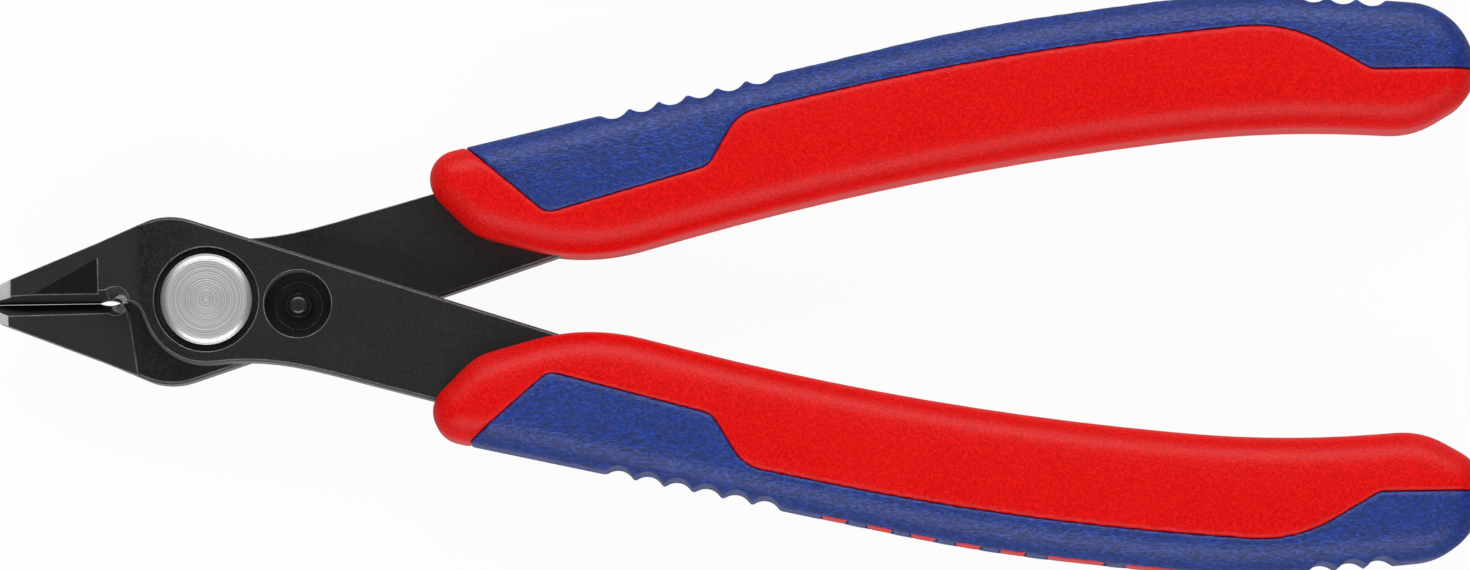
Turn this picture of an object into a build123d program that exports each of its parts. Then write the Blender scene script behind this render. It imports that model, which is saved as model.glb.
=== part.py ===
from build123d import *
from math import cos, hypot, radians, sin
import os

# A 125 mm electronics flush cutter.
# X runs from the jaw tips (-X) to the handle ends (+X), Z points up out of the front face.
# The origin is on the hinge axis, in the flat back face of the head.
# The front half is drawn once, and the rear half is the same half turned over about the X axis.

# ---- driving dimensions, mm ----
plate = 3.0                     # thickness of each blade's plate
head = 2 * plate                # thickness of the head
middle = head / 2               # height of the plane between the blades
slip = 0.03                     # each blade's inner face stands this far off the middle plane
jaw_lap = 0.9                   # how far each jaw passes the middle plane
rear_lap_root = 0.6             # the same at the root of the rear jaw, whose front face slopes
tip_x = -18.1                   # end of the jaws
tip_width = 1.05                # half the width of the closed jaws' blunt end
tip_corner = (tip_x + 0.7, 1.66)  # where the back of each jaw turns in to the blunt end
notch_x = -8.2                  # the relief notch behind the cutting edges
dish_x = -7.7                   # the dish ground round the notch
lip_x = -6.9                    # where the front blade's edge turns down round its boss
lap_root_x = -6.4               # root of the part of each jaw that passes the middle plane
front_crease_x = -5.4           # where the front jaw starts to taper
hollow_x = -9.1                 # root of the hollow ground into the front jaw's face
back_crease_x = -5.0            # where the back of the rear jaw starts to taper
jaw_shoulder = (-9.0, 4.92)     # a point on the straight back of each jaw
edge_gap = 0.012                # each cutting edge's distance from the centre line
edge_break = 0.2                # chamfer along the plates' outer edges

grip_thickness = 11.0           # grips, across the tool
grip_round = 2.4                # radius along the grips' edges
grip_end = 106.6                # end of the handles
pad_depth = 1.5                 # thickness of the soft skin

bolt_head_radius = 3.82
bolt_head_height = 1.2
shank_radius = 2.5
thread_radius = 2.0
running_fit = 0.03              # radial play of the shank in the front blade
counterbore_radius = bolt_head_radius + 0.58
washer_height = 0.3
nut_radius = 3.4
nut_height = 1.3
spanner_hole_radius = 0.35
boss_radius = 5.45              # round boss of each blade about the hinge

limiter_x = 7.65
limiter_y = -0.5
limiter_flange_radius = 1.95
limiter_flange_height = 0.5
limiter_flange_top = middle - 0.3
limiter_shank_radius = 1.0
limiter_shank_bottom = 0.8      # the shank's hole stops short of the rear blade's back
limiter_post_radius = 1.2
limiter_dome_radius = 0.95
opening_angle = 10.0            # degrees the jaws open before the limiter is near its stop
stop_clearance = 0.3            # what is then left between the post and its hole
post_travel = 2 * hypot(limiter_x, limiter_y) * sin(radians(opening_angle / 2))
limiter_hole_radius = limiter_post_radius + post_travel + stop_clearance

spring_radius = 3.4             # centre line of the spring's coil
wire_radius = 0.35
channel_play = 0.12             # play round the wire in its channel
leg_radius = 0.39               # each bent end is upset a little
leg_length = 1.0                # each spring leg's reach past the coil's centre line
leg_angle = 10                  # degrees from -X to each end of the coil

far = 40.0                      # well past the whole tool
below = -20.0
above = 20.0


# ---- helpers ----
def turned_over(shape):
    """The same shape given half a turn about the X axis through the middle plane."""
    return Pos(0, 0, head) * shape.rotate(Axis.X, 180)


def disc(radius, bottom, top, x=0.0, y=0.0):
    """An upright cylinder between two heights."""
    return Pos(x, y, (bottom + top) / 2) * Cylinder(radius, top - bottom)


def slab(outline, bottom, top):
    """A plan outline made solid between two heights."""
    return extrude(Pos(0, 0, bottom) * outline, top - bottom)


def side_cut(points, turn=0.0, x=0.0):
    """A cutter drawn in X and Z that runs across the tool, turned about an upright line at x."""
    outline = make_face(Plane.XZ * Polyline(*points, close=True))
    across = extrude(outline, far, both=True)
    return Pos(x, 0, 0) * Rot(0, 0, turn) * Pos(-x, 0, 0) * across


# ---- blades ----
def on_boss(angle):
    """A point on the boss's rim, at an angle in degrees from +X."""
    return boss_radius * cos(radians(angle)), boss_radius * sin(radians(angle))


def blade_outline():
    """Plan of the front blade's plate: upper jaw, boss, and the tang that crosses to -Y."""
    cutting_edge = Line((tip_x, edge_gap), (lip_x, edge_gap))
    lip = Spline((lip_x, edge_gap), on_boss(206), tangents=((1, 0), (0.44, -0.9)))
    boss = ThreePointArc(on_boss(206), on_boss(241), on_boss(276))
    waist = Spline(on_boss(276), (4.3, -5.3), (8.9, -6.03), (12.9, -7.11),
                   tangents=((1, 0.11), (1, -0.28)))
    outer_tang = Polyline((12.9, -7.11), (21.0, -9.32), (30.0, -11.8), (55.0, -16.9), (88.0, -21.0))
    tang_end = Line((88.0, -21.0), (88.0, -16.2))
    inner_tang = Polyline((88.0, -16.2), (56.0, -12.3), (34.0, -7.0), (30.6, -3.72), (-1.2, 6.65))
    shoulder = Spline((-1.2, 6.65), (-3.2, 6.95), (-5.2, 6.5), tangents=((-1, 0.33), (-1, -0.44)))
    jaw_back = Polyline((-5.2, 6.5), jaw_shoulder, tip_corner, (tip_x, tip_width), (tip_x, edge_gap))
    return make_face([cutting_edge, lip, boss, waist, outer_tang, tang_end, inner_tang,
                      shoulder, jaw_back])


def jaw_lap_solid(root_lap):
    """The part of the front jaw that passes the middle plane, with a ramp at its root."""
    outline = make_face(Polyline((tip_x, edge_gap), (lip_x - 0.3, edge_gap), (lip_x + 0.3, 1.0),
                                 (-5.9, 6.2), jaw_shoulder, tip_corner, (tip_x, tip_width),
                                 close=True))
    return slab(outline, middle - jaw_lap, middle + slip) - side_cut(
        [(far, middle), (lap_root_x, middle), (lap_root_x - root_lap, middle - root_lap),
         (tip_x, middle - jaw_lap), (tip_x, below), (far, below)], -14, lap_root_x)


def relief_notch(dish_radius, dish_top_radius):
    """The lens-shaped gap behind the cutting edges, dished out towards the front."""
    notch = disc(2.0, below, above, notch_x, -1.8)
    dish_bottom = middle - 0.5
    dish_height = 4.0
    dish = Cone(dish_radius, dish_top_radius, dish_height)
    return notch + Pos(dish_x, 0, dish_bottom + dish_height / 2) * dish


def front_blade():
    """Upper jaw and lower tang, with the seats of the bolt, the spring and the limiter."""
    blade = slab(blade_outline(), middle + slip, head)
    blade = chamfer(blade.faces().sort_by(Axis.Z)[-1].edges().filter_by(
        lambda edge: edge.center().X < 27 and edge.center().Y > edge_gap + 0.1
        or edge.center().X > -6.8 and edge.center().X < 40), edge_break)
    blade += jaw_lap_solid(jaw_lap)
    blade -= front_taper()
    blade -= front_hollow()
    blade -= bevel(0.27)
    blade -= relief_notch(0.45, 1.4)
    blade -= tip_facet()
    blade -= disc(counterbore_radius, head - bolt_head_height - washer_height, above)
    blade -= disc(shank_radius + running_fit, below, above)
    blade -= spring_channel(1)
    blade -= disc(limiter_hole_radius, below, above, limiter_x, limiter_y)
    return blade


def front_taper():
    """What is ground off the front jaw, from a slanting crease down to its tip."""
    return side_cut([(front_crease_x, head), (tip_x - 1, middle + jaw_lap - 0.05),
                     (tip_x - 1, above), (front_crease_x, above)], -7, front_crease_x)


def front_hollow():
    """The hollow ground along the front jaw's bevel: it leaves the bevel's top edge level and
    runs out across the tapered face."""
    height = middle + 1.6           # of the bevel's top edge
    slope = 0.27
    top_edge_y = 0.9
    low_y = -3.0
    high_y = 7.0
    profile = make_face(Plane.YZ * Polyline(
        (low_y, height + slope * (low_y - top_edge_y)),
        (high_y, height + slope * (high_y - top_edge_y)), (high_y, above), (low_y, above),
        close=True))
    return extrude(Pos(tip_x - 1, 0, 0) * profile, hollow_x - tip_x + 1)


def back_taper():
    """What is ground off the rear jaw, so that the backs of both cutting edges lie flush."""
    flush = middle - jaw_lap
    return side_cut([(back_crease_x, 0), (back_crease_x - 3.2, flush), (tip_x - 1, flush),
                     (tip_x - 1, below), (back_crease_x, below)], 7, back_crease_x)


def bevel(slope):
    """The bevel above a cutting edge; the back of the edge stays flush."""
    flat = 0.05
    bottom = middle - jaw_lap + flat
    profile = make_face(Plane.YZ * Polyline((-2.0, bottom), (edge_gap, bottom),
                                            (edge_gap + slope * 6, bottom + 6), (-2.0, bottom + 6),
                                            close=True))
    return extrude(Pos(tip_x - 1, 0, 0) * profile, dish_x - tip_x + 1)


def tip_facet():
    """The slanting nose ground across the jaw's tip."""
    return side_cut([(tip_x + 1.6, above), (tip_x + 1.6, middle + 1.05), (tip_x - 1, middle - 1.0),
                     (tip_x - 1, above)])


def spring_channel(side):
    """Half of the spring's channel, cut into a blade's inner face (side 1 front, -1 rear)."""
    depth = wire_radius + channel_play
    inner = spring_radius - wire_radius - channel_play
    outer = spring_radius + wire_radius + channel_play
    bottom = middle if side > 0 else middle - depth
    ring = disc(outer, bottom, bottom + depth) - disc(inner, bottom, bottom + depth)
    reach = leg_length + channel_play
    hole = Rot(0, 0, 180 - side * leg_angle) * disc(
        leg_radius + 0.05, min(middle, middle + side * reach), max(middle, middle + side * reach),
        spring_radius)
    return ring + hole


def rear_blade():
    """Lower jaw and upper tang: the front blade turned over, with its own ground faces."""
    blade = turned_over(slab(blade_outline(), middle + slip, head))
    blade = chamfer(blade.faces().sort_by(Axis.Z)[0].edges().filter_by(
        lambda edge: -5 < edge.center().X < 40), edge_break)
    inner = blade.faces().sort_by(Axis.Z)[-1]
    blade = chamfer(inner.edges().filter_by(
        lambda edge: 2 < edge.center().X < 27 and edge.center().Y < 3), edge_break)
    blade += turned_over(jaw_lap_solid(rear_lap_root))
    blade -= back_taper()
    blade -= mirror(bevel(0.6), Plane.XZ)
    blade -= mirror(relief_notch(0.3, 3.1), Plane.XZ)
    blade -= tip_facet()
    blade -= disc(nut_radius, below, nut_height)
    blade -= disc(shank_radius, below, above)
    blade -= spring_channel(-1)
    blade -= disc(limiter_flange_radius, limiter_flange_top - limiter_flange_height, above,
                  limiter_x, limiter_y)
    blade -= disc(limiter_shank_radius, limiter_shank_bottom, above, limiter_x, limiter_y)
    return blade


# ---- joint ----
def joint_bolt():
    """A turned disc head on a ground shank, with a threaded end for the nut."""
    top = disc(bolt_head_radius, head - bolt_head_height, head)
    top = chamfer(top.edges().group_by(Axis.Z)[-1], 0.3)
    return top + disc(shank_radius, nut_height, head - bolt_head_height) \
        + disc(thread_radius, 0, nut_height)


def joint_washer():
    """The thrust ring under the bolt's head."""
    bottom = head - bolt_head_height - washer_height
    top = bottom + washer_height - running_fit
    return disc(counterbore_radius - 0.1, bottom, top) - disc(shank_radius + 0.1, bottom, top)


def joint_nut():
    """The round nut, flush in the back of the head, with two holes for a pin spanner."""
    nut = disc(nut_radius, 0, nut_height) - disc(thread_radius, 0, nut_height)
    for spanner_x in (-2.7, 2.7):
        nut -= disc(spanner_hole_radius, below, 0.8, spanner_x)
    return nut


def limiter_pin():
    """The pin that stops the jaws from opening further: flange, post and a domed top."""
    flange_bottom = limiter_flange_top - limiter_flange_height
    post_top = middle + 1.1
    pin = disc(limiter_shank_radius, limiter_shank_bottom, flange_bottom, limiter_x, limiter_y)
    pin += disc(limiter_flange_radius, flange_bottom, limiter_flange_top, limiter_x, limiter_y)
    post = disc(limiter_post_radius, limiter_flange_top, post_top, limiter_x, limiter_y)
    pin += chamfer(post.edges().group_by(Axis.Z)[-1], 0.15)
    dome_height = 0.65
    dome = disc(limiter_dome_radius, post_top, post_top + dome_height, limiter_x, limiter_y)
    return pin + fillet(dome.edges().group_by(Axis.Z)[-1], dome_height - 0.05)


def opening_spring():
    """An open coil of wire round the shank, one end bent up and the other bent down."""
    start = Location((0, 0, middle), (0, 0, 1), 180 + leg_angle)
    coil = start * revolve(Plane.XZ * Pos(spring_radius, 0) * Circle(wire_radius), Axis.Z,
                           360 - 2 * leg_angle)
    legs = []
    for side in (1, -1):
        start_height = middle - side * leg_radius
        end_height = middle + side * leg_length
        legs.append(Rot(0, 0, 180 - side * leg_angle) * disc(
            leg_radius, min(start_height, end_height), max(start_height, end_height),
            spring_radius))
    return coil + legs


# ---- grips ----
def rounded_outline(corners):
    """A plan outline from its corners, each with its own radius; 0 leaves a corner sharp."""
    outline = make_face(Polyline(*[point for point, radius in corners], close=True))
    for point, radius in corners:
        if radius:
            outline = fillet(outline.vertices().sort_by_distance((*point, 0))[0], radius)
    return outline


def grip_outline(inset=0.0):
    """Plan of the upper grip, or the same plan drawn in by the skin's depth."""
    outline = rounded_outline([((16.4, 11.17), 2.45), ((64.8, 21.98), 150.0), ((86.2, 24.66), 80.0),
                               ((grip_end, 23.03), 5.8), ((grip_end, 15.48), 3.5),
                               ((101.58, 12.56), 7.0), ((89.5, 13.29), 95.0),
                               ((60.15, 10.15), 265.0), ((31.8, 2.58), 18.0), ((22.5, 5.1), 5.0)])
    if inset:
        outline = make_face(offset(outline, -inset).edges())
    return outline


def grip_solid(inset=0.0):
    """One grip with rounded edges, centred on the middle plane."""
    half = grip_thickness / 2 - inset
    grip = slab(grip_outline(inset), middle - half, middle + half)
    rounding = grip_round - inset
    flat_faces = grip.faces().filter_by(GeomType.PLANE)
    return fillet(flat_faces.edges(), rounding)


def skin_zone():
    """Where the soft skin lies: the outer side of the grip, its lower front patch and its tail."""
    zone = rounded_outline([((20.0, 14.0), 0), ((28.6, 6.63), 1.3), ((42.2, 10.4), 1.5),
                            ((44.78, 14.8), 3.5), ((67.1, 19.68), 250.0), ((90.7, 21.81), 12.0),
                            ((97.8, 17.72), 0.8), ((110.0, 17.72), 0), ((110.0, 30.0), 0),
                            ((20.0, 30.0), 0)])
    return slab(zone, below, above)


def finger_grooves():
    """Shallow round grooves across the outer side: six in front and three near the tail."""
    groove_radius = 1.35
    groove_pitch = 2.45
    depth = 0.65
    grooves = []
    for count, start_x, start_y, slope in ((6, 34.4, 15.19, 0.2234), (3, 93.1, 24.1, -0.08)):
        for number in range(count):
            x = start_x + groove_pitch * number
            y = start_y + slope * (x - start_x)
            grooves.append(disc(groove_radius, below, above,
                                x - slope * (groove_radius - depth), y + groove_radius - depth))
    return grooves


def spine_windows():
    """Plain windows in the skin along the spine: five short ones, then three long ones."""
    height = 6.4
    windows = []
    for number in range(5):
        windows.append(Pos(52.4 + 3.72 * number, 0, middle) * Box(2.2, 2 * far, height))
    for number in range(3):
        windows.append(Pos(72.6 + 6.5 * number, 0, middle) * Box(5.0, 2 * far, height))
    return windows


def upper_grip():
    """The hard core and the soft skin of the upper grip, without the hole for the tang."""
    whole = grip_solid() - finger_grooves()
    inner = grip_solid(pad_depth)
    skin = (whole & skin_zone()) - inner
    skin -= spine_windows()
    skin = skin.solids().sort_by(SortBy.VOLUME)[-1]
    core = whole - skin
    return core, skin


# ---- build and write ----
pieces = {}
pieces["front_blade"] = front_blade()
pieces["rear_blade"] = rear_blade()
pieces["joint_bolt"] = joint_bolt()
pieces["joint_washer"] = joint_washer()
pieces["joint_nut"] = joint_nut()
pieces["limiter_pin"] = limiter_pin()
pieces["opening_spring"] = opening_spring()
upper_core, upper_pad = upper_grip()
pieces["upper_grip_core"] = upper_core - pieces["rear_blade"]
pieces["upper_grip_pad"] = upper_pad
pieces["lower_grip_core"] = turned_over(upper_core) - pieces["front_blade"]
pieces["lower_grip_pad"] = turned_over(upper_pad)

os.makedirs("parts", exist_ok=True)
for name, piece in pieces.items():
    export_step(piece, f"parts/{name}.step")
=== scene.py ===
from math import cos, pi, radians, sin

import bmesh
import bpy
import numpy as np
from mathutils import Matrix, Vector


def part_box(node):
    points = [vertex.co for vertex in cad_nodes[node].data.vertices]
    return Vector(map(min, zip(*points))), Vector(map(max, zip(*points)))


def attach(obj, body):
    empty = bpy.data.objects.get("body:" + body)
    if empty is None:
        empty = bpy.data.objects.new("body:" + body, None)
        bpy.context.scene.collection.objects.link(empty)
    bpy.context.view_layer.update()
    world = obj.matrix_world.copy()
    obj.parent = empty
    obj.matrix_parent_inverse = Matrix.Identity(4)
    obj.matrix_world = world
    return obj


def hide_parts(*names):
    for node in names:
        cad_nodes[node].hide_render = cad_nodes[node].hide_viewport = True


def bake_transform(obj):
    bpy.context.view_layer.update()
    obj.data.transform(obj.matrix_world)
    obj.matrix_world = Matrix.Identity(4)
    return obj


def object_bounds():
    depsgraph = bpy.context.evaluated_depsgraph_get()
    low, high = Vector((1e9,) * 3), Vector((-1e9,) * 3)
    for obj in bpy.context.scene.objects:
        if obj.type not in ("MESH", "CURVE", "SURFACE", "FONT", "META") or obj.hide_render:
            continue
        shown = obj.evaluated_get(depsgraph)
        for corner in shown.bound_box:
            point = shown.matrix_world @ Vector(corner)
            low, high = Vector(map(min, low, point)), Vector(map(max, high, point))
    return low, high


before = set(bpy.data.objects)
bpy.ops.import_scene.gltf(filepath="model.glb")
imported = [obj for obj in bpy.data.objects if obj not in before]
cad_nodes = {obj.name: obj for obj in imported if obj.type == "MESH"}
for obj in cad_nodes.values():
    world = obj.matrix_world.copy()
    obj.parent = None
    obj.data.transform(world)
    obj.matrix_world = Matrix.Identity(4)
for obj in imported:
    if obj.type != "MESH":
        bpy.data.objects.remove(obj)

MM = 0.001
cad_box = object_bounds()
scene = bpy.context.scene

# ---- sizes that the pieces and finishes share, in metres ----
head_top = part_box("joint_bolt")[1].z
middle = head_top / 2               # the plane that the tool is turned over about
bolt_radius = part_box("joint_bolt")[1].x
rim_width = 0.42 * MM               # of the bolt's chamfer
tip_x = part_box("front_blade")[0].x
notch_x = -7.8 * MM                 # where the cutting edges end
tool_middle_x = 45 * MM             # halfway along the tool


# ---- node helpers ----
def put(tree, kind, **settings):
    """A shader node with its properties set by name."""
    node = tree.nodes.new(kind)
    for name, value in settings.items():
        setattr(node, name, value)
    return node


def fill(tree, target, value):
    """Links an input to a socket, or sets it to a plain value."""
    if isinstance(value, bpy.types.NodeSocket):
        tree.links.new(value, target)
    else:
        target.default_value = value


def maths(tree, operation, first, second=0.0):
    """One step of arithmetic on one or two numbers, each plain or a socket."""
    node = put(tree, "ShaderNodeMath", operation=operation)
    fill(tree, node.inputs[0], first)
    fill(tree, node.inputs[1], second)
    return node.outputs[0]


def vector_maths(tree, operation, first, second=(0.0, 0.0, 0.0)):
    """One step of arithmetic on vectors. A length and a dot product come out as a number."""
    node = put(tree, "ShaderNodeVectorMath", operation=operation)
    fill(tree, node.inputs[0], first)
    fill(tree, node.inputs[1], second)
    number = operation in ("LENGTH", "DOT_PRODUCT")
    return node.outputs["Value" if number else "Vector"]


def colour_mix(tree, mask, first, second):
    """The first colour where the mask is 0, and the second where it is 1."""
    node = put(tree, "ShaderNodeMix", data_type="RGBA")
    fill(tree, node.inputs["Factor"], mask)
    fill(tree, node.inputs[6], first)
    fill(tree, node.inputs[7], second)
    return node.outputs[2]


def value_mix(tree, mask, first, second):
    """The first value where the mask is 0, and the second where it is 1."""
    node = put(tree, "ShaderNodeMix", data_type="FLOAT")
    fill(tree, node.inputs["Factor"], mask)
    fill(tree, node.inputs[2], first)
    fill(tree, node.inputs[3], second)
    return node.outputs[0]


def slope(tree, value, start, end):
    """Goes from 0 to 1 as the value goes from start to end, and is held beyond them."""
    node = put(tree, "ShaderNodeMapRange")
    fill(tree, node.inputs["Value"], value)
    fill(tree, node.inputs["From Min"], start)
    fill(tree, node.inputs["From Max"], end)
    return node.outputs["Result"]


def noise(tree, place, scale, detail, roughness=0.5):
    """Fractal noise at a place, round one half."""
    node = put(tree, "ShaderNodeTexNoise")
    fill(tree, node.inputs["Vector"], place)
    fill(tree, node.inputs["Scale"], scale)
    fill(tree, node.inputs["Detail"], detail)
    fill(tree, node.inputs["Roughness"], roughness)
    return node.outputs["Fac"]


def bump(tree, height, distance, strength=1.0, normal=None):
    """A bump from a height, on top of another normal where one is given."""
    node = put(tree, "ShaderNodeBump")
    fill(tree, node.inputs["Height"], height)
    fill(tree, node.inputs["Distance"], distance)
    fill(tree, node.inputs["Strength"], strength)
    if normal:
        fill(tree, node.inputs["Normal"], normal)
    return node.outputs["Normal"]


def object_place(tree):
    """Where a point of the surface is, in metres, in the frame of the whole tool."""
    return put(tree, "ShaderNodeTexCoord").outputs["Object"]


def face_normal(tree):
    """The direction that the flat face itself points in, without smoothing."""
    return put(tree, "ShaderNodeNewGeometry").outputs["True Normal"]


def parts_of(tree, vector):
    """The X, Y and Z of a vector."""
    node = put(tree, "ShaderNodeSeparateXYZ")
    fill(tree, node.inputs["Vector"], vector)
    return node.outputs


def in_plan(tree, vector):
    """A vector laid flat in the plane of the blades."""
    return vector_maths(tree, "MULTIPLY", vector, (1.0, 1.0, 0.0))


def grey(value):
    """A neutral colour."""
    return (value, value, value, 1.0)


def new_group(name, inputs, outputs):
    """An empty shader group with named sockets: the group, what it is given, what it gives."""
    group = bpy.data.node_groups.new(name, "ShaderNodeTree")
    for label, kind, value in inputs:
        socket = group.interface.new_socket(label, in_out="INPUT", socket_type=kind)
        socket.default_value = value
    for label, kind in outputs:
        group.interface.new_socket(label, in_out="OUTPUT", socket_type=kind)
    given = put(group, "NodeGroupInput").outputs
    result = put(group, "NodeGroupOutput").inputs
    return group, given, result


def place_group(tree, group, **values):
    """Places a group in a material with its own values, and gives its outputs."""
    node = put(tree, "ShaderNodeGroup", node_tree=group)
    for label, value in values.items():
        fill(tree, node.inputs[label.replace("_", " ")], value)
    return node.outputs


def new_material(name, **values):
    """A material with one Principled shader: the material, its nodes, the shader's inputs."""
    material = bpy.data.materials.new(name)
    material.use_nodes = True
    tree = material.node_tree
    tree.nodes.clear()
    shader = put(tree, "ShaderNodeBsdfPrincipled")
    for label, value in values.items():
        fill(tree, shader.inputs[label.replace("_", " ")], value)
    output = put(tree, "ShaderNodeOutputMaterial")
    fill(tree, output.inputs["Surface"], shader.outputs["BSDF"])
    return material, tree, shader.inputs


# ---- effects shared by several finishes ----
def make_grain_group():
    """Moulded or blasted grain: rounded cells broken up by finer noise. Crest is a mask of the
    grain's high points."""
    group, given, result = new_group(
        "surface_grain",
        [("Cell Size", "NodeSocketFloat", 0.5 * MM), ("Fine Share", "NodeSocketFloat", 0.4),
         ("Stretch", "NodeSocketVector", (1.0, 1.0, 1.0))],
        [("Height", "NodeSocketFloat"), ("Crest", "NodeSocketFloat")])
    fineness = 1.9                      # of the noise, against the cells
    crest_start = 0.43
    crest_full = 0.64
    place = vector_maths(group, "MULTIPLY", object_place(group), given["Stretch"])
    per_metre = maths(group, "DIVIDE", 1.0, given["Cell Size"])
    cells = put(group, "ShaderNodeTexVoronoi", feature="SMOOTH_F1")
    fill(group, cells.inputs["Vector"], place)
    fill(group, cells.inputs["Scale"], per_metre)
    fill(group, cells.inputs["Smoothness"], 0.3)
    fine_per_metre = maths(group, "MULTIPLY", per_metre, fineness)
    fine = noise(group, place, fine_per_metre, detail=3.0, roughness=0.65)
    height = value_mix(group, given["Fine Share"], cells.outputs["Distance"], fine)
    fill(group, result["Height"], height)
    fill(group, result["Crest"], slope(group, height, crest_start, crest_full))
    return group


def make_edge_group():
    """A mask of the sharp edges, unevenly rubbed, and a normal that rounds them. The mask paints
    wear, and on the steel also a painted highlight along the edges. An edge shows where the
    rounded normal leaves the face's own, by the cosine between them."""
    group, given, result = new_group(
        "worn_and_highlit_edges",
        [("Radius", "NodeSocketFloat", 0.12 * MM), ("Amount", "NodeSocketFloat", 1.0)],
        [("Mask", "NodeSocketFloat"), ("Normal", "NodeSocketVector")])
    cosine_unworn = 0.987
    cosine_worn = 0.86
    patches_per_metre = 900.0
    little_rubbed = 0.3
    fully_rubbed = 0.62
    least_wear = 0.35
    bevel = put(group, "ShaderNodeBevel", samples=6)
    fill(group, bevel.inputs["Radius"], given["Radius"])
    rounded = bevel.outputs["Normal"]
    cosine = vector_maths(group, "DOT_PRODUCT", rounded, face_normal(group))
    edge = slope(group, cosine, cosine_unworn, cosine_worn)
    uneven = noise(group, object_place(group), patches_per_metre, detail=3.0)
    rubbed = slope(group, uneven, little_rubbed, fully_rubbed)
    wear = value_mix(group, rubbed, least_wear, 1.0)
    worn_and_highlit = maths(group, "MULTIPLY", edge, wear)
    fill(group, result["Mask"], maths(group, "MULTIPLY", worn_and_highlit, given["Amount"]))
    fill(group, result["Normal"], rounded)
    return group


def make_facet_group():
    """A mask of the flat that lies in the plane through Point and faces along Facing: all that
    is within Reach of that plane and parallel to it."""
    group, given, result = new_group(
        "ground_facet",
        [("Point", "NodeSocketVector", (0.0, 0.0, 0.0)),
         ("Facing", "NodeSocketVector", (0.0, 0.0, 1.0)),
         ("Reach", "NodeSocketFloat", 0.025 * MM)],
        [("Mask", "NodeSocketFloat")])
    cosine_parallel = 0.99
    offset = vector_maths(group, "SUBTRACT", object_place(group), given["Point"])
    unit = vector_maths(group, "NORMALIZE", given["Facing"])
    distance = maths(group, "ABSOLUTE", vector_maths(group, "DOT_PRODUCT", offset, unit))
    near = maths(group, "LESS_THAN", distance, given["Reach"])
    cosine = vector_maths(group, "DOT_PRODUCT", face_normal(group), unit)
    parallel = maths(group, "GREATER_THAN", cosine, cosine_parallel)
    fill(group, result["Mask"], maths(group, "MULTIPLY", near, parallel))
    return group


def make_patch_group():
    """A mask of slow uneven patches over a surface; Scale is how many there are to a metre."""
    group, given, result = new_group(
        "uneven_patches", [("Scale", "NodeSocketFloat", 200.0)], [("Mask", "NodeSocketFloat")])
    patch_start = 0.3
    patch_full = 0.7
    uneven = noise(group, object_place(group), given["Scale"], detail=4.0, roughness=0.6)
    fill(group, result["Mask"], slope(group, uneven, patch_start, patch_full))
    return group


def make_side_group():
    """A mask for painted light on a blade's sides and chamfers, which don't face up or down. It
    is faint in the strip along the cutting edges, where the bevels get little of this painted
    light."""
    group, _, result = new_group("painted_lit_sides", [], [("Mask", "NodeSocketFloat")])
    strip_end = notch_x + 1.5 * MM
    strip_half_width = 1.7 * MM
    strip_share = 0.12
    face_rise = 0.8
    side_rise = 0.6
    rise = maths(group, "ABSOLUTE", parts_of(group, face_normal(group))["Z"])
    side = slope(group, rise, face_rise, side_rise)
    place = parts_of(group, object_place(group))
    at_jaws = maths(group, "LESS_THAN", place["X"], strip_end)
    across = maths(group, "ABSOLUTE", place["Y"])
    at_edge = maths(group, "LESS_THAN", across, strip_half_width)
    strip = maths(group, "MULTIPLY", at_jaws, at_edge)
    share = value_mix(group, strip, 1.0, strip_share)
    fill(group, result["Mask"], maths(group, "MULTIPLY", side, share))
    return group


def make_tone_group():
    """Painted light and shade along a blade, from 0 to 1: painted light on the jaw, painted
    shade darkest in the crease behind it, and even from the joint on. Places are shares of the
    way from the tip to the joint."""
    group, _, result = new_group("painted_jaw_shading", [], [("Painted Shading", "NodeSocketFloat")])
    tip_tone = 0.5
    joint_tone = 0.34
    jaw_end, jaw_end_tone = 0.66, 0.6
    crease, crease_shade_tone = 0.71, 0.06
    shoulder, shoulder_tone = 0.82, 0.18
    along = parts_of(group, object_place(group))["X"]
    ramp = put(group, "ShaderNodeValToRGB")
    ramp.color_ramp.interpolation = "EASE"
    stops = ramp.color_ramp.elements
    stops[0].color = grey(tip_tone)
    stops[1].color = grey(joint_tone)
    stops.new(jaw_end).color = grey(jaw_end_tone)
    stops.new(crease).color = grey(crease_shade_tone)
    stops.new(shoulder).color = grey(shoulder_tone)
    fill(group, ramp.inputs["Fac"], slope(group, along, tip_x, 0.0))
    fill(group, result["Painted Shading"], ramp.outputs["Color"])
    return group


def make_notch_group():
    """A mask of the ground walls of the relief notch: the slanted faces round its middle."""
    group, _, result = new_group("relief_notch", [], [("Mask", "NodeSocketFloat")])
    notch_middle = (notch_x + 0.45 * MM, -0.15 * MM, 0.0)
    notch_radius = 0.75 * MM
    flat_rise = 0.9
    upright_rise = 0.1
    offset = vector_maths(group, "SUBTRACT", object_place(group), notch_middle)
    distance = vector_maths(group, "LENGTH", in_plan(group, offset))
    near = maths(group, "LESS_THAN", distance, notch_radius)
    rise = parts_of(group, face_normal(group))["Z"]
    below_flat = maths(group, "LESS_THAN", rise, flat_rise)
    above_upright = maths(group, "GREATER_THAN", rise, upright_rise)
    slanted = maths(group, "MULTIPLY", below_flat, above_upright)
    fill(group, result["Mask"], maths(group, "MULTIPLY", near, slanted))
    return group


grain_group = make_grain_group()
edge_group = make_edge_group()
facet_group = make_facet_group()
patch_group = make_patch_group()
lit_side_group = make_side_group()
jaw_shading_group = make_tone_group()
notch_group = make_notch_group()


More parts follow.
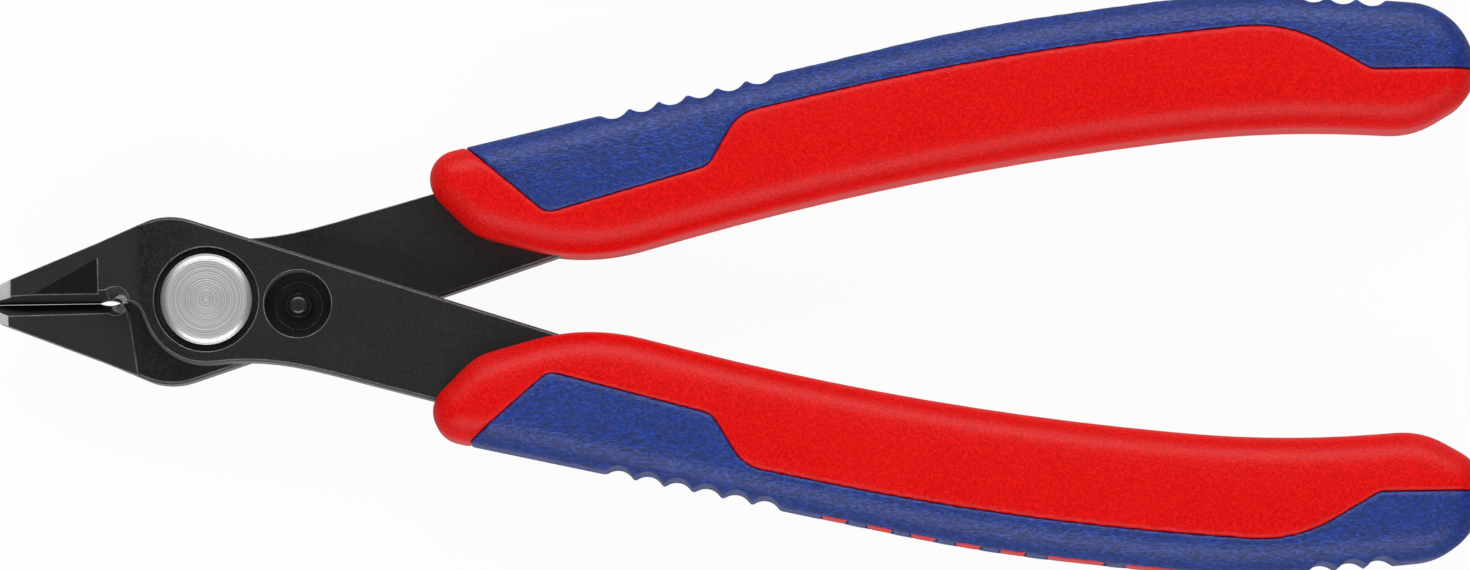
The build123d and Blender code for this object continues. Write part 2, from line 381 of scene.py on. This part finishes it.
# ---- finishes ----
def black_steel(name, ground_facets, hollow_facets):
    """Satin black oxide on tool steel, bright where facets are ground. Its colour also holds
    painted
    light and shade: sides painted paler, light and shade painted along the jaws, edges partly
    rubbed and partly a painted highlight, grain crests painted paler as sparkle, and a smoother
    hollow ground facet painted near black as painted shade. A facet is given by a point in its
    plane and the direction that it faces."""
    dark_oxide = (0.008, 0.008, 0.009, 1.0)
    pale_oxide = (0.016, 0.016, 0.017, 1.0)
    # grain crests painted paler, as painted sparkle
    sparkle_crest_oxide = (0.026, 0.026, 0.027, 1.0)
    # painted shade in the crease behind the jaw, and painted light on the jaw
    crease_painted_shade = grey(0.0005)
    jaw_painted_light = grey(0.05)
    # painted shade: the hollow ground facet painted near black
    hollow_painted_shade = grey(0.003)
    # painted light on the sides and chamfers
    side_painted_light = grey(0.13)
    # edges partly rubbed and partly a painted highlight
    rubbed_and_highlit_edge = grey(0.55)
    dull_steel = grey(0.75)
    bright_steel = grey(0.95)
    satin_roughness = 0.26
    dull_roughness = 0.36
    hollow_roughness = 0.2
    ground_roughness = 0.36
    ground_metallic = 0.4
    least_jaw_shading = 0.6                 # share of the painted light and shade in the colour
    most_jaw_shading = 0.8

    material, tree, surface = new_material(name)
    edges = place_group(tree, edge_group, Radius=0.15 * MM, Amount=0.9)
    grain = place_group(tree, grain_group, Cell_Size=0.3 * MM, Fine_Share=0.8)
    patches = place_group(tree, patch_group, Scale=160.0)["Mask"]
    smears = place_group(tree, patch_group, Scale=700.0)["Mask"]
    tone = place_group(tree, jaw_shading_group)["Painted Shading"]
    lit_sides = place_group(tree, lit_side_group)["Mask"]
    bright = place_group(tree, notch_group)["Mask"]

    cloudy = colour_mix(tree, patches, dark_oxide, pale_oxide)
    # the painted light and shade along the blade, from the jaw to the joint
    jaw_shading_colour = colour_mix(tree, tone, crease_painted_shade, jaw_painted_light)
    jaw_shading_share = value_mix(tree, patches, least_jaw_shading, most_jaw_shading)
    blended = colour_mix(tree, jaw_shading_share, cloudy, jaw_shading_colour)
    oxide = colour_mix(tree, grain["Crest"], blended, sparkle_crest_oxide)
    roughness = value_mix(tree, patches, satin_roughness, dull_roughness)
    for point, facing in hollow_facets:
        facet = place_group(tree, facet_group, Point=point, Facing=facing)["Mask"]
        # the hollow facet painted near black, as painted shade
        oxide = colour_mix(tree, facet, oxide, hollow_painted_shade)
        roughness = value_mix(tree, facet, roughness, hollow_roughness)
    for point, facing in ground_facets:
        facet = place_group(tree, facet_group, Point=point, Facing=facing)["Mask"]
        bright = maths(tree, "MAXIMUM", bright, facet)
    # the sides and chamfers painted paler, as painted light
    with_painted_sides = colour_mix(tree, lit_sides, oxide, side_painted_light)
    # edges painted bright: partly wear, partly a painted highlight
    worn_and_highlit = colour_mix(tree, edges["Mask"], with_painted_sides, rubbed_and_highlit_edge)
    steel = colour_mix(tree, smears, dull_steel, bright_steel)
    roughness = value_mix(tree, bright, roughness, ground_roughness)
    relief = bump(tree, grain["Height"], 0.02 * MM, strength=0.4, normal=edges["Normal"])

    fill(tree, surface["Base Color"], colour_mix(tree, bright, worn_and_highlit, steel))
    fill(tree, surface["Metallic"], value_mix(tree, bright, 0.0, ground_metallic))
    fill(tree, surface["Roughness"], roughness)
    fill(tree, surface["Normal"], relief)
    return material


def turned_steel():
    """Bright steel from the lathe: fine dark and pale rings round the bolt, which are cut in its
    mesh too, and a chamfer painted brighter as a painted highlight."""
    ring_floor = grey(0.60)
    dull_crest = grey(0.79)
    bright_crest = grey(0.89)
    # painted highlight on the chamfer
    chamfer_painted_highlight = grey(0.97)
    rings_per_metre = 9500.0
    crest_start = 0.35
    crest_full = 0.6
    floor_roughness = 0.44
    crest_roughness = 0.58
    chamfer_roughness = 0.42

    material, tree, surface = new_material("turned_steel_face", Metallic=1.0)
    patches = place_group(tree, patch_group, Scale=400.0)["Mask"]
    radius = vector_maths(tree, "LENGTH", in_plan(tree, object_place(tree)))
    rings = put(tree, "ShaderNodeTexNoise", noise_dimensions="1D")
    fill(tree, rings.inputs["W"], radius)
    fill(tree, rings.inputs["Scale"], rings_per_metre)
    fill(tree, rings.inputs["Detail"], 2.0)
    height = rings.outputs["Fac"]
    crest = slope(tree, height, crest_start, crest_full)
    crest_tone = colour_mix(tree, patches, dull_crest, bright_crest)
    face = colour_mix(tree, crest, ring_floor, crest_tone)
    chamfer = maths(tree, "GREATER_THAN", radius, bolt_radius - rim_width)
    roughness = value_mix(tree, height, floor_roughness, crest_roughness)

    # the chamfer painted brighter, as a painted highlight
    fill(tree, surface["Base Color"], colour_mix(tree, chamfer, face, chamfer_painted_highlight))
    fill(tree, surface["Roughness"], value_mix(tree, chamfer, roughness, chamfer_roughness))
    fill(tree, surface["Normal"], bump(tree, height, 0.02 * MM, strength=0.35))
    return material


def dark_steel(name, tone, roughness):
    """Oiled dark steel of the small parts, paler and duller in patches, with edges partly rubbed
    and partly painted as a highlight.
    """
    # edges partly rubbed and partly a painted highlight
    rubbed_and_highlit_edge = grey(0.3)
    patch_tone = grey(tone * 1.5)
    patch_roughness = roughness + 0.12

    material, tree, surface = new_material(name, Metallic=0.7)
    edges = place_group(tree, edge_group, Radius=0.08 * MM, Amount=0.5)
    patches = place_group(tree, patch_group, Scale=500.0)["Mask"]
    base = colour_mix(tree, patches, grey(tone), patch_tone)

    fill(tree, surface["Base Color"], colour_mix(tree, edges["Mask"], base, rubbed_and_highlit_edge))
    fill(tree, surface["Roughness"], value_mix(tree, patches, roughness, patch_roughness))
    fill(tree, surface["Normal"], edges["Normal"])
    return material


def red_plastic():
    """Hard red moulding with a very fine spark-eroded grain, and edges a little rubbed."""
    deep_red = (0.70, 0.0010, 0.0008, 1.0)
    full_red = (0.76, 0.0013, 0.0010, 1.0)
    # grain crests painted paler, as painted sparkle
    sparkle_crest_red = (0.97, 0.008, 0.006, 1.0)
    rubbed_red = (0.80, 0.04, 0.03, 1.0)
    satin_roughness = 0.33
    dull_roughness = 0.39

    material, tree, surface = new_material("red_moulding", Specular_IOR_Level=0.21)
    edges = place_group(tree, edge_group, Radius=0.15 * MM, Amount=0.25)
    grain = place_group(tree, grain_group, Cell_Size=0.36 * MM, Fine_Share=0.85)
    patches = place_group(tree, patch_group, Scale=120.0)["Mask"]
    hollow = colour_mix(tree, patches, deep_red, full_red)
    base = colour_mix(tree, grain["Crest"], hollow, sparkle_crest_red)
    relief = bump(tree, grain["Height"], 0.05 * MM, normal=edges["Normal"])

    fill(tree, surface["Base Color"], colour_mix(tree, edges["Mask"], base, rubbed_red))
    fill(tree, surface["Roughness"], value_mix(tree, patches, satin_roughness, dull_roughness))
    fill(tree, surface["Normal"], relief)
    return material


def blue_rubber():
    """Soft blue skin with a coarse leathery grain, drawn out along the grip, whose crests are
    shinier and painted paler as sparkle."""
    deep_blue = (0.001, 0.018, 0.15, 1.0)
    full_blue = (0.002, 0.023, 0.18, 1.0)
    # grain crests painted paler, as painted sparkle
    sparkle_crest_blue = (0.008, 0.052, 0.37, 1.0)
    hollow_roughness = 0.46
    crest_roughness = 0.30

    material, tree, surface = new_material("blue_soft_skin", Specular_IOR_Level=0.55)
    grain = place_group(tree, grain_group, Cell_Size=0.6 * MM, Fine_Share=0.85,
                        Stretch=(0.75, 1.2, 1.0))
    patches = place_group(tree, patch_group, Scale=150.0)["Mask"]
    hollow = colour_mix(tree, patches, deep_blue, full_blue)
    roughness = value_mix(tree, grain["Crest"], hollow_roughness, crest_roughness)

    fill(tree, surface["Base Color"], colour_mix(tree, grain["Crest"], hollow, sparkle_crest_blue))
    fill(tree, surface["Roughness"], roughness)
    fill(tree, surface["Normal"], bump(tree, grain["Height"], 0.12 * MM))
    return material


# ---- pieces ----
def add_object(name, data):
    """An object in the scene with this mesh, camera or lamp."""
    thing = bpy.data.objects.new(name, data)
    scene.collection.objects.link(thing)
    return thing


def points_of(piece):
    """The vertices of a piece as rows of x, y, z."""
    points = np.empty(3 * len(piece.data.vertices))
    piece.data.vertices.foreach_get("co", points)
    return points.reshape(-1, 3)


def merged_copy(node, name):
    """A new piece with the CAD node's own surface, its loose triangles merged."""
    same_point = 0.001 * MM
    mesh = cad_nodes[node].data.copy()
    mesh.name = name
    mesh.materials.clear()
    work = bmesh.new()
    work.from_mesh(mesh)
    bmesh.ops.remove_doubles(work, verts=work.verts, dist=same_point)
    work.to_mesh(mesh)
    work.free()
    if mesh.has_custom_normals:
        mesh.attributes.remove(mesh.attributes["custom_normal"])
    return add_object(name, mesh)


def fine_copy(node, name, voxel, passes):
    """The CAD node's own surface laid out again as an even fine mesh and eased a little, so
    that its sharp edges get the small radius of a moulding."""
    piece = merged_copy(node, name)
    remesh = piece.modifiers.new("even", "REMESH")
    remesh.mode = "VOXEL"
    remesh.voxel_size = voxel
    remesh.use_smooth_shade = True
    ease = piece.modifiers.new("ease", "SMOOTH")
    ease.factor = 0.5
    ease.iterations = passes
    graph = bpy.context.evaluated_depsgraph_get()
    baked = bpy.data.meshes.new_from_object(piece.evaluated_get(graph))
    piece.modifiers.clear()
    piece.data = baked
    baked.name = name
    low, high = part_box(node)
    inside = np.clip(points_of(piece), np.array(low), np.array(high))
    baked.vertices.foreach_set("co", inside.ravel())
    return piece


def crown_faces(pieces, drop, reach, level):
    """Crowns the flat faces of the pieces of one grip. A point at the distance d in plan from
    the grip's edge sinks towards the mid-plane by drop (1 - d / reach)^2, less so lower down,
    and not at all below the level where the tang lies. d is a soft minimum of the distances
    to the two long edges and the two ends, (sum of d_i^-4)^(-1/4)."""
    sharpness = 4.0
    least = 0.05 * MM
    step = 1.5 * MM
    every = np.concatenate([points_of(piece) for piece in pieces])
    start, end = every[:, 0].min(), every[:, 0].max()
    half = np.abs(every[:, 2] - middle).max()
    station = ((every[:, 0] - start) / step).astype(int)
    count = station.max() + 1
    high = np.full(count, -np.inf)
    low = np.full(count, np.inf)
    np.maximum.at(high, station, every[:, 1])
    np.minimum.at(low, station, every[:, 1])
    centres = start + step * (np.arange(count) + 0.5)
    lean_high = np.cos(np.arctan(np.gradient(high, step)))
    lean_low = np.cos(np.arctan(np.gradient(low, step)))
    for piece in pieces:
        points = points_of(piece)
        x, y, z = points.T
        from_high = (np.interp(x, centres, high) - y) * np.interp(x, centres, lean_high)
        from_low = (y - np.interp(x, centres, low)) * np.interp(x, centres, lean_low)
        distances = np.stack([from_high, from_low, x - start, end - x])
        closeness = (np.maximum(distances, least) ** -sharpness).sum(0)
        inside = closeness ** (-1 / sharpness)
        sink = drop * (1 - np.clip(inside / reach, 0, 1)) ** 2
        height = z - middle
        share = np.clip((np.abs(height) - level) / (half - level), 0, 1)
        points[:, 2] = z - np.sign(height) * sink * share
        piece.data.vertices.foreach_set("co", points.ravel())
        piece.data.update()


def lathe_mesh(name, profile, turns):
    """A closed surface of revolution: profile points (radius, height) carried round the Z axis.
    Point (i, j) is (r_i cos a_j, r_i sin a_j, z_i) with a_j = 2 pi j / turns."""
    radius, height = np.array(profile, float).T
    count = len(radius)
    j = np.arange(turns)
    angle = j * 2 * pi / turns
    x = np.outer(radius, np.cos(angle))
    y = np.outer(radius, np.sin(angle))
    z = np.repeat(height[:, None], turns, 1)
    rings = np.stack([x, y, z], -1).reshape(-1, 3)
    poles = [(0, 0, height[0]), (0, 0, height[-1])]
    points = np.concatenate([rings, poles])
    k = (j + 1) % turns
    ring = turns * np.arange(count - 1)[:, None]
    below = ring + turns
    quads = np.stack([ring + j, below + j, below + k, ring + k], -1).reshape(-1, 4)
    top = np.stack([np.full(turns, count * turns), j, k], 1)
    last = (count - 1) * turns
    bottom = np.stack([np.full(turns, count * turns + 1), last + k, last + j], 1)
    faces = quads.tolist() + top.tolist() + bottom.tolist()
    mesh = bpy.data.meshes.new(name)
    mesh.from_pydata(points.tolist(), [], faces)
    mesh.polygons.foreach_set("use_smooth", np.ones(len(faces), bool))
    return add_object(name, mesh)


def turned_bolt():
    """The bolt with its lathe rings: the face falls and rises as
    z = top - depth (1 - cos(2 pi r / pitch)) / 2 out to a small groove and the chamfer, then
    the outline goes down the head, the shank and the thread to the end."""
    pitch = 0.2 * MM
    depth = 0.009 * MM
    points_per_ring = 8
    groove = 0.04 * MM
    hair = 0.004 * MM                   # too small to see; it keeps the chamfer's shading crisp
    corner = 0.02 * MM                  # the small bevels of the head, shank and thread
    face_edge = bolt_radius - rim_width
    head_bottom = head_top - 1.2 * MM
    chamfer_bottom = head_top - 0.15 * MM
    shank = 2.5 * MM
    nut_top = 1.3 * MM
    thread = 2.0 * MM
    lead_in = 0.15 * MM
    core = 0.1 * MM
    radius = np.arange(0.02 * MM, face_edge - pitch, pitch / points_per_ring)
    height = head_top - depth * (1 - np.cos(2 * pi * radius / pitch)) / 2
    profile = list(zip(radius, height))
    profile += [
        (face_edge - 2 * groove, head_top),
        (face_edge - groove, head_top - groove),
        (face_edge, head_top - hair),
        (face_edge + hair, head_top - 2 * hair),
        (bolt_radius - hair, chamfer_bottom),
        (bolt_radius, chamfer_bottom - 0.01 * MM),
        (bolt_radius, head_bottom + corner),
        (bolt_radius - corner, head_bottom),
        (shank + corner, head_bottom),
        (shank, head_bottom - corner),
        (shank, nut_top + corner),
        (shank - corner, nut_top),
        (thread + corner, nut_top),
        (thread, nut_top - corner),
        (thread, lead_in),
        (thread - lead_in, 0.0),
        (core, 0.0),
    ]
    return lathe_mesh("turned_bolt", profile, turns=144)


# ---- camera, light and floor ----
def aim(thing, place, target, roll=0.0):
    """Puts a camera or lamp at a place, looks at the target and rolls about that line."""
    direction = Vector(target) - Vector(place)
    turn = direction.to_track_quat("-Z", "Y").to_matrix().to_4x4()
    thing.matrix_world = Matrix.Translation(place) @ turn @ Matrix.Rotation(roll, 4, "Z")


def add_camera():
    """A long lens almost straight above the tool, leaning a little towards the lower handle."""
    distance = 0.9
    view_width = 123.5 * MM
    lean = radians(4.1)
    roll = radians(-0.855)
    target = Vector((44.3 * MM, 0.73 * MM, middle))
    data = bpy.data.cameras.new("camera")
    data.sensor_width = 36.0
    data.lens = data.sensor_width * distance / view_width
    camera = add_object("camera", data)
    aim(camera, target + distance * Vector((0.0, -sin(lean), cos(lean))), target, roll)
    scene.camera = camera


def add_lamp(name, place, size, power):
    """A soft rectangular lamp that looks at the middle of the tool."""
    data = bpy.data.lights.new(name, "AREA")
    data.shape = "RECTANGLE"
    data.size, data.size_y = size
    data.energy = power
    aim(add_object(name, data), place, (tool_middle_x, 0.0, middle))


def add_world(strength, shown_white):
    """Even pale light from all round, white where the camera looks past the floor."""
    world = bpy.data.worlds.new("world")
    scene.world = world
    world.use_nodes = True
    tree = world.node_tree
    background = tree.nodes["Background"].inputs
    rays = put(tree, "ShaderNodeLightPath").outputs
    shown = value_mix(tree, rays["Is Camera Ray"], strength, shown_white)
    fill(tree, background["Color"], grey(1.0))
    fill(tree, background["Strength"], shown)


def pale_floor():
    """A pale matt surface that glows white for the camera and faintly in reflections, and still
    takes a soft shadow. It is clear from below and to the light of the lamp under it, so that
    the underside can be looked at too."""
    seen_glow = 1.0
    reflected_glow = 0.35
    glow_share = 0.95                   # of what the camera sees; the rest is lit and shaded
    material = bpy.data.materials.new("pale_floor")
    material.use_nodes = True
    tree = material.node_tree
    tree.nodes.clear()
    rays = put(tree, "ShaderNodeLightPath").outputs
    back = put(tree, "ShaderNodeNewGeometry").outputs["Backfacing"]
    matt = put(tree, "ShaderNodeBsdfDiffuse")
    fill(tree, matt.inputs["Color"], grey(0.85))
    glow = put(tree, "ShaderNodeEmission")
    fill(tree, glow.inputs["Color"], grey(1.0))
    strength = value_mix(tree, rays["Is Camera Ray"], reflected_glow, seen_glow)
    fill(tree, glow.inputs["Strength"], strength)
    clear = put(tree, "ShaderNodeBsdfTransparent")
    seen = maths(tree, "MULTIPLY", rays["Is Camera Ray"], glow_share)
    from_above = put(tree, "ShaderNodeMixShader")
    fill(tree, from_above.inputs["Fac"], maths(tree, "MAXIMUM", seen, rays["Is Glossy Ray"]))
    fill(tree, from_above.inputs[1], matt.outputs["BSDF"])
    fill(tree, from_above.inputs[2], glow.outputs["Emission"])
    whole = put(tree, "ShaderNodeMixShader")
    fill(tree, whole.inputs["Fac"], maths(tree, "MAXIMUM", back, rays["Is Shadow Ray"]))
    fill(tree, whole.inputs[1], from_above.outputs["Shader"])
    fill(tree, whole.inputs[2], clear.outputs["BSDF"])
    output = put(tree, "ShaderNodeOutputMaterial")
    fill(tree, output.inputs["Surface"], whole.outputs["Shader"])
    return material


def add_floor(height):
    """A wide square floor."""
    half = 3.0
    corners = [(-half, -half, height), (half, -half, height),
               (half, half, height), (-half, half, height)]
    mesh = bpy.data.meshes.new("floor")
    mesh.from_pydata(corners, [], [(0, 1, 2, 3)])
    mesh.materials.append(pale_floor())
    floor = add_object("floor", mesh)


lamp_out = 0.62
lamp_up = 0.5
side_lamp_size = (1.1, 0.34)
scene.view_settings.view_transform = "Standard"
add_camera()
add_world(strength=0.15, shown_white=0.98)
add_lamp("upper_side_lamp", (tool_middle_x, lamp_out, lamp_up), side_lamp_size, power=5.6)
add_lamp("lower_side_lamp", (tool_middle_x, -lamp_out, lamp_up), side_lamp_size, power=4.6)
add_lamp("under_lamp", (tool_middle_x, 0.0, -0.6), (0.9, 0.9), power=3.0)
add_floor(cad_box[0][2] - 0.1 * MM)

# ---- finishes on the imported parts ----
hollow_facet = ((0.0, 0.9 * MM, middle + 1.6 * MM), (0.0, -0.27, 1.0))
tip_facet = ((tip_x + 1.6 * MM, 0.0, middle + 1.05 * MM), (-2.05, 0.0, 2.6))
finishes = {
    "front_blade": black_steel("black_front_steel", [tip_facet], [hollow_facet]),
    "rear_blade": black_steel("black_rear_steel", [tip_facet], []),
    "limiter_pin": dark_steel("dark_pin_steel", tone=0.05, roughness=0.14),
    "joint_washer": dark_steel("dark_washer_steel", tone=0.04, roughness=0.4),
    "opening_spring": dark_steel("spring_wire", tone=0.35, roughness=0.25),
    "joint_nut": turned_steel(),
}
red = red_plastic()
blue = blue_rubber()
for node, finish in finishes.items():
    cad_nodes[node].data.materials.clear()
    cad_nodes[node].data.materials.append(finish)

# ---- new pieces ----
bolt = turned_bolt()
bolt.data.materials.append(finishes["joint_nut"])
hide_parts("joint_bolt")
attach(bolt, "rear_half")

spring = merged_copy("opening_spring", "bent_spring")
spring.data.materials.append(finishes["opening_spring"])
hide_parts("opening_spring")
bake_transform(spring)

core_voxel = 0.24 * MM
skin_voxel = 0.2 * MM
easing_passes = 6
for side, body in (("upper", "rear_half"), ("lower", "front_half")):
    core = fine_copy(f"{side}_grip_core", f"{side}_grip_body", core_voxel, easing_passes)
    core.data.materials.append(red)
    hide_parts(f"{side}_grip_core")
    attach(core, body)
    skin = fine_copy(f"{side}_grip_pad", f"{side}_grip_skin", skin_voxel, easing_passes)
    skin.data.materials.append(blue)
    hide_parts(f"{side}_grip_pad")
    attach(skin, body)
    crown_faces([core, skin], drop=0.6 * MM, reach=5.0 * MM, level=2.2 * MM)
